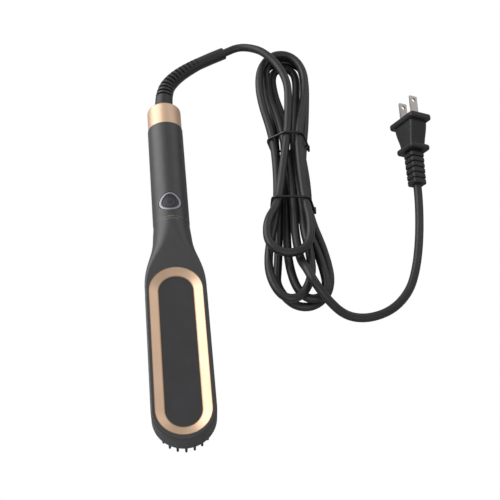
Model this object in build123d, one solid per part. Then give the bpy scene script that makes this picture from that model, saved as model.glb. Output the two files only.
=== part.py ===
from build123d import *

import math
import os

os.makedirs("parts", exist_ok=True)

# Beard straightener brush with a swivelling mains cord, a tied hank and a two-blade plug.
# The brush lies on the tips of its guard pins, at z = 0, with its handle just above that plane.
# +Y runs from the head's tip to the cord, +X is to the right seen from the head, +Z is up.
# All lengths are in millimetres and all angles in degrees.

# Whole brush
brush_length = 269.5
handle_radius = 12.7
collar_radius = handle_radius - 0.4
axis_height = handle_radius + 0.5
handle_wall = 2.0
handle_flat = 0.4
seam_gap = 0.2
fit_gap = 0.05

# Head
head_width = 40.4
head_length = 0.46456 * brush_length
head_top = 26.5
head_bottom = 10.0
head_wall = 2.2
head_edge_radius = 1.2
head_foot_radius = 2.5
head_seam_height = 24.3
lip_rear_y = -0.015 * brush_length
recess_floor = 22.9
recess_plate = 1.6

# Ring and back panel
ring_width = 35.2
ring_margin = 2.6
ring_length = head_length - 2 * ring_margin
ring_band = 6.2
ring_rim = 0.2
ring_dish = 2.3
panel_gap = 0.05
panel_drop = 0.2

# Comb frame, guard pins and heated comb
frame_thickness = 2.5
frame_gap = 0.1
frame_rear_y = -0.078 * brush_length
pin_base_radius = 0.95
pin_tip_radius = 0.75
pin_inset = 1.0
pins_per_end = 10
pins_per_side = 15
window_width = 26.0
window_end_margin = 11.0
plate_overlap = 1.6
plate_thickness = 1.8
tooth_rows = 13
tooth_columns = 4
tooth_length = 8.2
tooth_width = 1.8
tooth_depth = 3.2
tooth_tip_height = 2.0
tooth_tip_wall = 0.35
tooth_margin = 3.2

# Heater stack on the back of the comb plate
element_length = 0.126 * brush_length
element_width = 15.0
element_thickness = 2.4
element_pitch = 0.1485 * brush_length
sheet_thickness = 0.4
sheet_width = 18.0
clamp_thickness = 0.8
clamp_width = 16.0
clamp_screw_radius = 1.0
clamp_head_radius = 1.9
clamp_head_height = 1.2
clamp_post_radius = 2.6
fuse_radius = 1.6
fuse_length = 11.0
sensor_radius = 1.1
sensor_length = 4.5

# Screws that hold the comb frame and the two handle halves
screw_radius = 1.1
screw_play = 0.03
screw_head_radius = 2.1
screw_head_height = 1.4
frame_screw_inset = 6.0
boss_radius = 2.9
neck_screw_y = 0.05 * brush_length
tail_screw_y = 0.371 * brush_length
housing_head_depth = 4.0
screw_bite = 6.0

# Circuit board in the handle
board_width = 16.0
board_length = 0.267 * brush_length
board_thickness = 1.6
board_front_y = 0.089 * brush_length
board_height = axis_height + 0.8
board_post_radius = 2.3
board_screw_radius = 0.9
board_screw_head_radius = 1.7
board_screw_head_height = 1.1
board_screw_inset = 3.2
board_screw_length = 5.0
triac_size = (10.0, 14.0, 4.4)
triac_y = 0.2635 * brush_length
capacitor_size = (10.0, 5.0, 5.8)
capacitor_y = 0.219 * brush_length
terminal_size = (10.0, 6.5, 5.2)
terminal_y = 0.319 * brush_length
led_size = (1.6, 0.8, 0.7)
led_offset = 4.5

# Power button and its switch
button_y = 0.15826 * brush_length
button_mean_radius = 7.5
button_lobe = 0.34
button_gap = 0.4
button_rim_width = 1.5
button_rim_top = axis_height + handle_radius - 0.1
button_face_drop = 0.5
button_crown_radius = 16.0
button_skirt_radius = 5.6
button_skirt_gap = 0.1
button_travel = 0.5
guide_outer_radius = 6.9
switch_size = 6.0
switch_height = 3.5
plunger_radius = 1.7
plunger_height = 1.0
plunger_depth = 0.6

# Tail collar and cord swivel
collar_length = 20.0
collar_end_wall = 2.4
collar_edge_radius = 2.2
collar_hole_radius = 7.3
spigot_radius = collar_radius - 1.3
spigot_wall = 1.9
rib_inner_radius = 7.2
rib_length = 1.7
flange_radius = 8.6
flange_length = 3.3
bush_radius = 6.0
swivel_play = 0.05
swivel_end_play = 0.1

# Cord and strain relief boot
cord_diameter = 6.0
cord_core_length = 8.0
boot_neck_radius = 6.85
boot_rib_radius_start = 6.4
boot_rib_radius_end = 4.9
boot_core_radius = 4.0
boot_sleeve_radius = 5.2
boot_rib_count = 12
boot_rib_width = 2.3
boot_neck_length = 15.0
boot_sleeve_length = 13.0

# Hank of the folded cord, in its own frame from the lower tie towards the upper one
hank_tilt = 5.1
hank_foot = (84.9, -83.25)
upper_tie_along = 50.0
upper_tie_turn = 17.0
lower_tie_along = -8.5
lower_tie_turn = 2.5
waist_upper = 55.0
waist_lower = -12.0
crown_share = 0.414
twist_across = (9.3, 8.9, 8.2, 7.9)
twist_height = 7.6
twist_radius = 4.05
twist_turn = 120.0
tie_radius = 0.7
tie_gap = 0.15
tie_knot_radius = 0.9
tie_knot_reach = 1.3
tie_knot_length = 5.0

# Plug
plug_face = (28.2, 18.4)
plug_flange = 4.6
plug_flange_round = 1.5
plug_back = (19.6, 17.0)
plug_back_flange = 4.0
plug_back_round = 1.4
plug_waist = (14.6, 12.8)
plug_shoulder = (21.4, 14.6)
plug_swell = ((0.0, 0.0), (0.3, 0.3), (0.7, 0.85), (1.0, 1.0))
plug_body_length = 27.0
plug_relief_length = 25.9
plug_relief_start = 10.8
plug_relief_end = 11.6
plug_relief_core = 9.2
plug_rib_count = 6
plug_rib_width = 3.3
plug_rib_round = 0.6
plug_corner = 2.4
plug_seam = 0.1
plug_point = (178.8, -75.95)
plug_run = 8.0
plug_yaw = 2.2
plug_pitch = 13.0
plug_roll = 63.7
blade_spacing = 12.7
blade_thickness = 1.5
blade_length = 17.0
blade_root = 6.0
blade_width = 6.35
blade_hole_radius = 1.6
blade_hole_inset = 3.6
blade_chamfer = 0.5

# Internal leads
supply_lead_radius = 0.8
sensor_lead_radius = 0.45
heater_lead_x = 8.35
heater_lead_z = 15.5
sensor_lead_x = 4.0

# Positions that follow from the sizes above
tip_y = -brush_length / 2
tail_y = brush_length / 2
collar_y = tail_y - collar_length
head_radius = head_width / 2
head_centre_y = tip_y + head_length / 2
front_arc_y = tip_y + head_radius
neck_start_y = 0.115 * brush_length
neck_end_y = -0.126 * brush_length
neck_bend_share = 0.615
ceiling_climb = 0.07
head_inner_radius = head_radius - head_wall
cavity_top = recess_floor - recess_plate
panel_top = head_top - ring_dish - panel_drop
frame_top = head_bottom + frame_thickness
plate_top = frame_top + plate_thickness
element_top = plate_top + element_thickness
sheet_top = element_top + sheet_thickness
clamp_top = sheet_top + clamp_thickness
board_top = board_height + board_thickness
switch_top = board_top + switch_height
plunger_top = switch_top + plunger_height
cord_radius = cord_diameter / 2

written = []


def save(node, shape):
    """Write one node and keep its name."""
    written.append(node)
    shape.label = node
    export_step(shape, f"parts/{node}.step")


def solids_of(*shapes):
    """Several separate solids in one node."""
    found = []
    for shape in shapes:
        found.extend(shape.solids())
    return Compound(children=found)


def block(size, centre):
    return Pos(*centre) * Box(*size)


def post(radius, low, high, x=0.0, y=0.0):
    """Upright cylinder between two heights."""
    return Pos(x, y, (low + high) / 2) * Cylinder(radius, high - low)


def barrel(radius, start_y, end_y, height=axis_height, x=0.0):
    """Cylinder along Y between two places."""
    turned = Pos(x, (start_y + end_y) / 2, height) * Rot(90, 0, 0)
    return turned * Cylinder(radius, end_y - start_y)


def stadium(width, start_y, end_y, low, high):
    """Upright prism of two half rounds joined by straight sides."""
    plan = SlotOverall(end_y - start_y, width, rotation=90)
    return Pos(0, (start_y + end_y) / 2, low) * extrude(plan, high - low)


# Body outline

def neck_section(y, half_width, low, high, high_radius, low_radius):
    """Round-cornered section of the body at one place along Y."""
    left, right = -half_width, half_width
    corners = [
        (right - high_radius, high - high_radius, high_radius, 0),
        (left + high_radius, high - high_radius, high_radius, 90),
        (left + low_radius, low + low_radius, low_radius, 180),
        (right - low_radius, low + low_radius, low_radius, 270),
    ]
    arcs = []
    for centre_x, centre_z, radius, start in corners:
        points = []
        for turn in (0, 45, 90):
            angle = math.radians(start + turn)
            points.append((centre_x + radius * math.cos(angle), y, centre_z + radius * math.sin(angle)))
        arcs.append(ThreePointArc(*points))
    edges = []
    for index, arc in enumerate(arcs):
        following = arcs[(index + 1) % len(arcs)]
        edges.append(arc)
        edges.append(Line(arc @ 1, following @ 0))
    return make_face(Wire(edges))


def blend(start, end, share):
    return start + (end - start) * share


# Shares of the way from the handle's section to the head's: place, half width, low and high edge,
# upper corner radius and lower corner radius
neck_shares = [
    (0.0, 0.0, 0.0, 0.0, 0.0, 0.0),
    (0.092, 0.007, 0.0, 0.083, 0.027, 0.03),
    (0.231, 0.093, 0.084, 0.333, 0.153, 0.276),
    (0.369, 0.213, 0.305, 0.667, 0.387, 0.5),
    (0.492, 0.44, 0.558, 0.917, 0.622, 0.704),
    (neck_bend_share, 0.707, 0.789, 1.0, 0.82, 0.867),
    (0.738, 0.907, 0.947, 1.0, 0.946, 0.959),
    (0.877, 0.993, 1.0, 1.0, 1.0, 1.0),
    (1.0, 1.0, 1.0, 1.0, 1.0, 1.0),
]


def neck_stations():
    """Place, half width, low and high edge, and corner radii from the handle to the head."""
    round_corner = handle_radius - handle_flat
    handle_section = (handle_radius, axis_height - handle_radius, axis_height + handle_radius,
                      round_corner, round_corner)
    head_section = (head_radius, head_bottom, head_top, head_edge_radius, head_foot_radius)
    stations = []
    for place, *shares in neck_shares:
        sizes = [blend(*values) for values in zip(handle_section, head_section, shares)]
        stations.append((blend(neck_start_y, neck_end_y, place), *sizes))
    return stations


def neck_body(inset, ceiling=None):
    """Neck with all its walls moved in, under a level ceiling where one is given."""
    sections = []
    bend_y = blend(neck_start_y, neck_end_y, neck_bend_share)
    for y, half_width, low, high, high_radius, low_radius in neck_stations():
        top = high - inset
        if ceiling is not None:
            top = min(top, ceiling + max(0.0, y - bend_y) * ceiling_climb)
        radii = max(high_radius - inset, 0.6), max(low_radius - inset, 0.6)
        sections.append(neck_section(y, half_width - inset, low + inset, top, *radii))
    return loft(sections), sections[0]


def head_body(inset, low, high):
    """Upright prism of the head's outline as far as the neck, with its walls moved in."""
    radius = head_radius - inset
    plan = Pos(0, (front_arc_y + neck_end_y) / 2) * Rectangle(2 * radius, neck_end_y - front_arc_y)
    plan += Pos(0, front_arc_y) * Circle(radius)
    return Pos(0, 0, low) * extrude(plan, high - low)


def outer_body():
    """Full outside of the handle, neck and head as one solid."""
    neck, end_section = neck_body(0)
    handle = extrude(end_section, neck_start_y - collar_y)
    spigot = barrel(spigot_radius, collar_y, tail_y - collar_end_wall - fit_gap)
    head = head_body(0, head_bottom, head_top)
    for height, radius in ((head_top, head_edge_radius), (head_bottom, head_foot_radius)):
        rim = [
            edge for edge in head.edges()
            if abs(edge.center().Z - height) < 0.01 and edge.center().Y < neck_end_y - 0.1
        ]
        head = fillet(rim, radius)
    return handle + spigot + neck + head


def inner_body():
    """Hollow of the handle, neck and head."""
    neck, end_section = neck_body(handle_wall, cavity_top)
    handle = extrude(end_section, neck_start_y - collar_y)
    spigot = barrel(spigot_radius - spigot_wall, collar_y, tail_y)
    rib = barrel(spigot_radius, rib_start_y(), rib_start_y() + rib_length)
    rib -= barrel(rib_inner_radius, rib_start_y() - 1, rib_start_y() + rib_length + 1)
    head = head_body(head_wall, frame_top, cavity_top)
    front_y = front_arc_y - head_inner_radius
    opening = stadium(2 * head_inner_radius, front_y, frame_rear_y, head_bottom - 1, frame_top)
    return neck + handle + (spigot - rib) + head + opening


def lip_space(gap):
    """Room inside the head's wall for the upper housing's plate."""
    inset = head_wall / 2 - gap
    low = cavity_top - gap
    neck, _ = neck_body(inset)
    body = neck + head_body(inset, low, head_top)
    reach = 40.0
    length = lip_rear_y - tip_y + reach
    keep = block((3 * reach, length, reach), (0, lip_rear_y - length / 2, low + reach / 2))
    return body & keep


def rib_start_y():
    return collar_y + 2.0


def upper_space():
    """Everything above the parting surface, which climbs from the handle's middle to the head's rim."""
    reach = 40.0
    half_gap = seam_gap / 2
    climb = Spline(
        (0, neck_start_y - 6, axis_height + half_gap), (0, neck_end_y + 8, head_seam_height + half_gap),
        tangents=[(0, -1, 0), (0, -1, 0)],
    )
    corners = [
        climb @ 1,
        (0, tip_y - reach, head_seam_height + half_gap),
        (0, tip_y - reach, head_top + reach),
        (0, tail_y + reach, head_top + reach),
        (0, tail_y + reach, axis_height + half_gap),
        climb @ 0,
    ]
    outline = [climb]
    for near, far in zip(corners, corners[1:]):
        outline.append(Line(near, far))
    face = make_face(Wire(outline))
    return extrude(face, amount=head_width, dir=(1, 0, 0), both=True)


def button_outline(growth):
    """Three-lobed outline with one lobe towards the cord, at a distance from the button's edge."""
    points = []
    count = 24
    for index in range(count):
        angle = 2 * math.pi * index / count
        radius = button_mean_radius + growth + button_lobe * math.cos(3 * (angle - math.pi / 2))
        points.append((radius * math.cos(angle), radius * math.sin(angle)))
    return make_face(Wire([Spline(*points, periodic=True)]))


def frame_screw_places():
    front = front_arc_y - head_inner_radius + frame_screw_inset
    rear = frame_rear_y - frame_screw_inset
    return [front, rear]


def board_screw_places():
    return [board_front_y + board_screw_inset, board_front_y + board_length - board_screw_inset]


def make_housings():
    hull = outer_body()
    hollow = inner_body()
    shell = hull - hollow
    above = upper_space()
    upper = shell & (above + lip_space(0))
    lower = shell - (Pos(0, 0, -seam_gap) * above + lip_space(seam_gap / 2))
    recess = stadium(
        ring_width + 2 * fit_gap, head_centre_y - ring_length / 2 - fit_gap,
        head_centre_y + ring_length / 2 + fit_gap, recess_floor, head_top + 5,
    )
    upper -= recess
    for y in (neck_screw_y, tail_screw_y):
        low_post = post(boss_radius, axis_height - handle_radius, axis_height - seam_gap / 2, y=y) & hull
        high_post = post(boss_radius, axis_height + seam_gap / 2, head_top + 1, y=y) & hull
        lower += low_post
        upper += high_post
        lower -= post(screw_radius + screw_play, -1, axis_height + 1, y=y)
        lower -= post(screw_head_radius + 0.2, -1, housing_head_depth, y=y)
        upper -= post(screw_radius + screw_play, axis_height - 1, axis_height + screw_bite + 0.5, y=y)
    for y in frame_screw_places():
        upper += post(boss_radius, frame_top, cavity_top + recess_plate / 2, y=y)
        upper -= post(screw_radius + screw_play, frame_top - 1, frame_top + screw_bite + 0.5, y=y)
    for y in board_screw_places():
        lower += post(board_post_radius, axis_height - handle_radius, board_height, y=y) & hull
        hole_low = board_height - board_screw_length - 0.5
        lower -= post(board_screw_radius + screw_play, hole_low, board_height + 1, y=y)
    well = Pos(0, button_y, axis_height) * extrude(button_outline(button_gap), head_top)
    upper -= well
    save("upper_housing", upper)
    save("lower_housing", lower)


def make_ring_and_panel():
    start = head_centre_y - ring_length / 2
    end = head_centre_y + ring_length / 2
    inner_width = ring_width - 2 * ring_band
    ring = stadium(ring_width, start, end, recess_floor, head_top)
    dish_floor = Pos(0, head_centre_y, head_top - ring_dish) * SlotOverall(
        ring_length - 2 * ring_band, inner_width, rotation=90)
    dish_rim = Pos(0, head_centre_y, head_top) * SlotOverall(
        ring_length - 2 * ring_rim, ring_width - 2 * ring_rim, rotation=90)
    ring -= loft([dish_floor.face(), dish_rim.face()], ruled=True)
    ring -= stadium(inner_width, start + ring_band, end - ring_band, recess_floor - 1, head_top)
    save("gold_ring", ring)
    panel = stadium(
        inner_width - 2 * panel_gap, start + ring_band + panel_gap, end - ring_band - panel_gap,
        recess_floor, panel_top,
    )
    save("back_panel", panel)


def guard_pin_places():
    """Evenly spaced places round the comb frame, close inside its edge."""
    radius = head_inner_radius - frame_gap - pin_inset
    rear_arc_y = frame_rear_y - frame_gap - head_inner_radius
    places = []
    for index in range(pins_per_end + 1):
        angle = math.pi * index / pins_per_end
        places.append((radius * math.cos(angle), rear_arc_y + radius * math.sin(angle)))
        places.append((radius * math.cos(angle), front_arc_y - radius * math.sin(angle)))
    for index in range(1, pins_per_side):
        y = front_arc_y + (rear_arc_y - front_arc_y) * index / pins_per_side
        places.extend([(radius, y), (-radius, y)])
    return places


def guard_pin():
    """Tapered round pin with a ball end, tip at z = 0 and root inside the frame."""
    root = head_bottom + frame_thickness / 2
    outline = Polyline(
        (0, pin_tip_radius), (0, root), (pin_base_radius, root), (pin_base_radius, head_bottom))
    side = Line((pin_base_radius, head_bottom), (pin_tip_radius, pin_tip_radius))
    ball = ThreePointArc(
        (pin_tip_radius, pin_tip_radius),
        (pin_tip_radius * math.sin(math.pi / 4), pin_tip_radius * (1 - math.cos(math.pi / 4))),
        (0, 0),
    )
    close = Line((0, 0), (0, pin_tip_radius))
    face = make_face(Wire([*outline.edges(), side, ball, close]))
    return revolve(Plane.XZ * face, Axis.Z)


def comb_window():
    start = front_arc_y - head_inner_radius + window_end_margin
    return start, frame_rear_y - window_end_margin


def make_comb():
    radius = head_inner_radius - frame_gap
    start = front_arc_y - radius
    end = frame_rear_y - frame_gap
    window_start, window_end = comb_window()
    frame = stadium(2 * radius, start, end, head_bottom, frame_top)
    frame -= stadium(window_width, window_start, window_end, head_bottom - 1, frame_top + 1)
    for y in frame_screw_places():
        frame -= post(screw_radius + screw_play, head_bottom - 1, frame_top + 1, y=y)
        frame -= post(screw_head_radius + 0.1, head_bottom - 1, head_bottom + screw_head_height, y=y)
    pin = guard_pin()
    frame = frame.fuse(*[Pos(x, y, 0) * pin for x, y in guard_pin_places()])
    save("comb_frame", frame)

    overlap = plate_overlap
    plate = stadium(
        window_width + 2 * overlap, window_start - overlap, window_end + overlap, frame_top, plate_top)
    teeth = []
    tips = []
    for x, y in tooth_places():
        low = frame_top - tooth_length
        tooth = block((tooth_width, tooth_depth, tooth_length + 0.5), (x, y, low + (tooth_length + 0.5) / 2))
        teeth.append(tooth)
        cap_size = (tooth_width + 2 * tooth_tip_wall, tooth_depth + 2 * tooth_tip_wall, tooth_tip_height)
        cap = block(cap_size, (x, y, low - tooth_tip_height / 2))
        cap = fillet(cap.edges().filter_by(Axis.Z) + cap.faces().sort_by(Axis.Z)[0].edges(), 0.6)
        tips.append(cap)
    for y in clamp_screw_places():
        plate += post(clamp_post_radius, plate_top, sheet_top, y=y)
    plate = plate.fuse(*teeth)
    for y in clamp_screw_places():
        plate -= post(clamp_screw_radius + screw_play, plate_top - 0.5, clamp_top, y=y)
    save("heater_plate", plate)
    save("tooth_tips", solids_of(*tips))
    heads = []
    for y in frame_screw_places():
        heads.append(
            post(screw_head_radius, head_bottom, head_bottom + screw_head_height, y=y)
            + post(screw_radius, head_bottom + screw_head_height, frame_top + screw_bite, y=y))
    save("frame_screws", solids_of(*heads))


def tooth_places():
    window_start, window_end = comb_window()
    half = window_width / 2
    places = []
    for column in range(tooth_columns):
        x = -half + tooth_margin + (window_width - 2 * tooth_margin) * column / (tooth_columns - 1)
        drop = half - math.sqrt(half ** 2 - x ** 2)
        low = window_start + drop + tooth_margin
        high = window_end - drop - tooth_margin
        for row in range(tooth_rows):
            places.append((x, low + (high - low) * row / (tooth_rows - 1)))
    return places


def window_middle():
    window_start, window_end = comb_window()
    return (window_start + window_end) / 2


def clamp_screw_places():
    """One post between the two elements and one beyond each of them."""
    middle = window_middle()
    return [middle - element_pitch, middle, middle + element_pitch]


def make_heater():
    middle = window_middle()
    for name, side in (("heating_element_front", -1), ("heating_element_rear", 1)):
        centre = (0, middle + side * element_pitch / 2, plate_top + element_thickness / 2)
        save(name, block((element_width, element_length, element_thickness), centre))
    length = 2 * element_pitch + 4 * clamp_post_radius
    sheet = block((sheet_width, length, sheet_thickness), (0, middle, element_top + sheet_thickness / 2))
    for y in clamp_screw_places():
        sheet -= post(clamp_post_radius + fit_gap, plate_top, clamp_top, y=y)
    save("insulation_sheet", sheet)
    clamp = block((clamp_width, length, clamp_thickness), (0, middle, sheet_top + clamp_thickness / 2))
    clamp = fillet(clamp.edges().filter_by(Axis.Z), 2)
    screws = []
    for y in clamp_screw_places():
        clamp -= post(clamp_screw_radius + screw_play, sheet_top - 1, clamp_top + 1, y=y)
        screws.append(
            post(clamp_head_radius, clamp_top, clamp_top + clamp_head_height, y=y)
            + post(clamp_screw_radius, plate_top - 0.3, clamp_top, y=y))
    save("heater_clamp", clamp)
    save("clamp_screws", solids_of(*screws))
    rear_y = middle + element_pitch / 2
    front_y = middle - element_pitch / 2
    save("thermal_fuse", barrel(
        fuse_radius, rear_y - fuse_length / 2, rear_y + fuse_length / 2, height=clamp_top + fuse_radius))
    save("temperature_sensor", barrel(
        sensor_radius, front_y - sensor_length / 2, front_y + sensor_length / 2,
        height=clamp_top + sensor_radius))


def make_electronics():
    middle = board_front_y + board_length / 2
    size = (board_width, board_length, board_thickness)
    board = block(size, (0, middle, board_height + board_thickness / 2))
    screws = []
    for y in board_screw_places():
        board -= post(board_screw_radius + screw_play, board_height - 1, board_top + 1, y=y)
        screws.append(
            post(board_screw_head_radius, board_top, board_top + board_screw_head_height, y=y)
            + post(board_screw_radius, board_height - board_screw_length, board_top, y=y))
    save("main_board", board)
    save("board_screws", solids_of(*screws))
    for name, size, y in (
        ("power_triac", triac_size, triac_y),
        ("filter_capacitor", capacitor_size, capacitor_y),
        ("terminal_block", terminal_size, terminal_y),
    ):
        body = block(size, (0, y, board_top + size[2] / 2))
        save(name, fillet(body.edges().filter_by(Axis.Z), 0.5))
    leds = [block(led_size, (side * led_offset, button_y, board_top + led_size[2] / 2)) for side in (-1, 1)]
    save("indicator_leds", solids_of(*leds))
    screws = []
    for y in (neck_screw_y, tail_screw_y):
        screws.append(
            post(screw_head_radius, housing_head_depth - screw_head_height, housing_head_depth, y=y)
            + post(screw_radius, housing_head_depth, axis_height + screw_bite, y=y))
    save("housing_screws", solids_of(*screws))


def make_button():
    body = block((switch_size, switch_size, switch_height), (0, button_y, board_top + switch_height / 2))
    hole_low = switch_top - plunger_depth - 2 * button_travel
    body -= post(plunger_radius + fit_gap, hole_low, switch_top + 1, y=button_y)
    save("tact_switch", body)
    save("switch_plunger", post(plunger_radius, switch_top - plunger_depth, plunger_top, y=button_y))

    def crown(top):
        """Space under a gently crowned top that runs along the handle."""
        reach = 2 * button_mean_radius
        height = top - button_crown_radius
        return barrel(button_crown_radius, button_y - reach, button_y + reach, height=height)

    base = button_rim_top - 5.0
    outer = Pos(0, button_y, base) * extrude(button_outline(0), head_top)
    core = Pos(0, button_y, base) * extrude(button_outline(-button_rim_width), head_top)
    rim = (outer - core) & crown(button_rim_top)
    save("button_rim", rim)
    face = core & crown(button_rim_top - button_face_drop)
    skirt_low = plunger_top
    cap = face + post(button_skirt_radius, skirt_low, base + 0.5, y=button_y)
    cap -= post(button_skirt_radius - 1.2, skirt_low - 1, base - 0.8, y=button_y)
    cap += post(plunger_radius + 0.4, skirt_low, base, y=button_y)
    save("power_button", cap)
    guide = post(guide_outer_radius, board_top, base - button_travel - 0.6, y=button_y)
    guide -= post(button_skirt_radius + button_skirt_gap, board_top - 1, base + 1, y=button_y)
    save("light_guide", guide)


def make_tail():
    collar = barrel(collar_radius, collar_y + fit_gap, tail_y)
    rim = collar.edges().sort_by(Axis.Y)[-1]
    collar = fillet(rim, collar_edge_radius)
    collar -= barrel(spigot_radius + fit_gap, collar_y - 1, tail_y - collar_end_wall)
    collar -= barrel(collar_hole_radius, tail_y - collar_end_wall - 1, tail_y + 1)
    save("tail_collar", collar)

    flange_y = rib_start_y() + rib_length + swivel_end_play
    bush_y = flange_y + flange_length + swivel_end_play
    end_y = tail_y - collar_end_wall
    sleeve = barrel(flange_radius, flange_y, flange_y + flange_length)
    sleeve += barrel(bush_radius, flange_y + flange_length, end_y)
    sleeve -= barrel(cord_radius + fit_gap, flange_y - 1, end_y + 1)
    save("swivel_sleeve", sleeve)
    retainer = barrel(spigot_radius - spigot_wall - fit_gap, bush_y, end_y - swivel_end_play)
    retainer -= barrel(bush_radius + swivel_play, bush_y - 1, end_y + 1)
    save("swivel_retainer", retainer)
    save("cord_core", barrel(cord_radius, flange_y - cord_core_length, end_y))


# Cord routes

def corner_radii(points):
    """Largest arc at each corner that keeps a tenth of the shorter run straight."""
    radii = []
    for before, here, after in zip(points, points[1:], points[2:]):
        first = Vector(*here) - Vector(*before)
        second = Vector(*after) - Vector(*here)
        half_turn = math.radians(first.get_angle(second)) / 2
        radii.append(0.45 * min(first.length, second.length) / math.tan(half_turn))
    return radii


def tube(name, points, radius):
    """Round tube along straight runs and tangent arcs, with its sums printed."""
    radii = corner_radii(points)
    path = FilletPolyline(*points, radius=radii)
    start = Plane(origin=path @ 0, z_dir=path % 0)
    solid = sweep(start * Circle(radius), path=path)
    length = path.length
    share = solid.volume / (math.pi * radius ** 2 * length)
    print(f"{name}: length {length:.1f}, least arc {min(radii):.1f}, volume share {share:.4f}")
    return solid, path


def least_gap(path, radius):
    """Least gap between parts of one tube that lie well apart along it."""
    step = 1.5
    count = int(path.length / step)
    places = [path @ (index / count) for index in range(count + 1)]
    apart = int(3.5 * radius * math.pi / step)
    least = 1e9
    for index, place in enumerate(places):
        for other in places[index + apart:]:
            least = min(least, (place - other).length)
    return least - 2 * radius


def hank_point(along, across, height):
    """Place in the hank's own frame, from the lower tie towards the upper one."""
    angle = math.radians(hank_tilt)
    x = hank_foot[0] + along * math.sin(angle) + across * math.cos(angle)
    y = tail_y + hank_foot[1] + along * math.cos(angle) - across * math.sin(angle)
    return (x, y, height)


def waist_points(strand, upward):
    """Points of a strand between the ties, given as across and height from the lower to the upper one."""
    points = []
    for index, (across, height) in enumerate(strand):
        share = index / (len(strand) - 1)
        points.append(hank_point(waist_lower + (waist_upper - waist_lower) * share, across, height))
    return points if upward else points[::-1]


def twisted_strand(start):
    """One of three strands that turn about one another by a third of a turn between the ties."""
    strand = []
    for step, centre in enumerate(twist_across):
        angle = math.radians(start + twist_turn * step / (len(twist_across) - 1))
        across = centre + twist_radius * math.cos(angle)
        strand.append((across, twist_height + twist_radius * math.sin(angle)))
    return strand


def turn_points(end, reach, left, right, height, left_side, right_side):
    """Rounded end of a loop from its left to its right side, on half an octagon drawn out by its reach."""
    middle = (left + right) / 2
    half = (right - left) / 2
    outward = 1 if end > 0 else -1
    shoulder = end - outward * (1 - crown_share) * reach
    crown = [
        (shoulder, left),
        (end, middle - crown_share * half),
        (end, middle + crown_share * half),
        (shoulder, right),
    ]
    left_run = sorted(left_side, key=lambda place: abs(place[0]))
    right_run = sorted(right_side, key=lambda place: -abs(place[0]))
    return [hank_point(along, across, height) for along, across in left_run + crown + right_run]


# Strands between the ties: across and height from the lower tie to the upper one
hank_strands = {
    "lead": [(-9.6, 18.4), (-5.6, 18.4), (-1.6, 18.3)],
    "short_up": [(10.2, 18.4), (7.4, 18.4), (6.4, 18.3)],
    "first_down": [(-9.2, 11.6), (-8.6, 11.5), (-11.0, 11.5)],
    "first_up": twisted_strand(100),
    "second_down": [(-2.0, 4.9), (-1.7, 4.9), (-2.0, 4.9)],
    "second_up": twisted_strand(220),
    "third_down": [(-9.0, 4.9), (-8.5, 4.9), (-8.8, 4.9)],
    "third_up": twisted_strand(340),
    "tail": [(1.6, 12.6), (-1.9, 11.6), (-4.4, 11.5)],
}

# Loop ends: end and reach along the hank, left and right across it, height, and their run-ins
hank_bottoms = [
    (-56.3, 15.0, -17.3, 12.1, 23.4, [(-30.0, -17.3)], [(-27.0, 12.6)]),
    (-88.0, 24.0, -16.9, 13.1, 16.4, [(-50.0, -17.2)], [(-48.0, 13.0), (-33.0, 9.4)]),
    (-84.0, 18.0, -1.2, 23.4, 9.8, [(-48.0, -3.4)], [(-42.0, 16.4)]),
    (-86.5, 22.0, -9.5, 25.9, 3.2, [(-50.0, -9.2)], [(-44.0, 23.2)]),
]
hank_tops = [
    (133.8, 27.0, -20.7, 13.9, 16.6, [(90.0, -21.0)], [(91.0, 14.0)]),
    (131.8, 15.0, -10.9, 9.3, 3.2, [(100.0, -8.2), (84.0, -3.6)], [(96.0, 8.3)]),
    (138.8, 20.0, -17.6, 16.3, 3.2, [(104.0, -16.0), (82.0, -10.4)], [(76.0, 14.0)]),
    (138.0, 24.0, -16.5, 14.7, 9.9, [(95.0, -13.4), (80.0, -8.4)], [(92.0, 15.0)]),
]


def hank_points():
    """Strands and loop ends in order, from the end of the lead to the start of the tail."""
    rounds = [
        ("lead", "short_up"),
        ("first_down", "first_up"),
        ("second_down", "second_up"),
        ("third_down", "third_up"),
    ]
    points = []
    for (down, up), bottom, top in zip(rounds, hank_bottoms, hank_tops):
        points += waist_points(hank_strands[down], False)
        points += turn_points(*bottom)
        points += waist_points(hank_strands[up], True)
        points += turn_points(*top)[::-1]
    points += waist_points(hank_strands["tail"], False)
    return points


def from_tail(points):
    """Places whose Y is given from the cord end of the brush."""
    return [(x, tail_y + y, z) for x, y, z in points]


lead_points = from_tail([
    (49.5, 54.4, 17.0),
    (60.0, 58.6, 18.4),
    (70.0, 54.4, 21.5),
    (79.0, 46.25, 24.6),
    (88.6, 31.75, 24.8),
    (94.0, 14.25, 23.4),
    (92.0, -6.75, 21.0),
])

boot_points = from_tail([
    (0.0, -collar_end_wall, axis_height),
    (0.0, 18.25, axis_height),
    (8.6, 33.0, axis_height + 0.8),
    (27.5, 45.6, 15.5),
])

tail_points = from_tail([
    (84.8, -110.75, 13.6),
    (84.4, -125.75, 14.8),
    (85.2, -140.75, 15.6),
    (87.4, -152.25, 22.8),
    (91.0, -163.75, 23.8),
    (98.6, -173.35, 16.8),
    (110.6, -180.75, 6.0),
    (126.0, -182.75, 3.2),
    (144.0, -177.25, 3.2),
    (158.0, -163.25, 3.2),
    (166.0, -144.75, 3.2),
    (172.0, -122.75, 3.2),
    (176.2, -101.25, 3.2),
])


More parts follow.
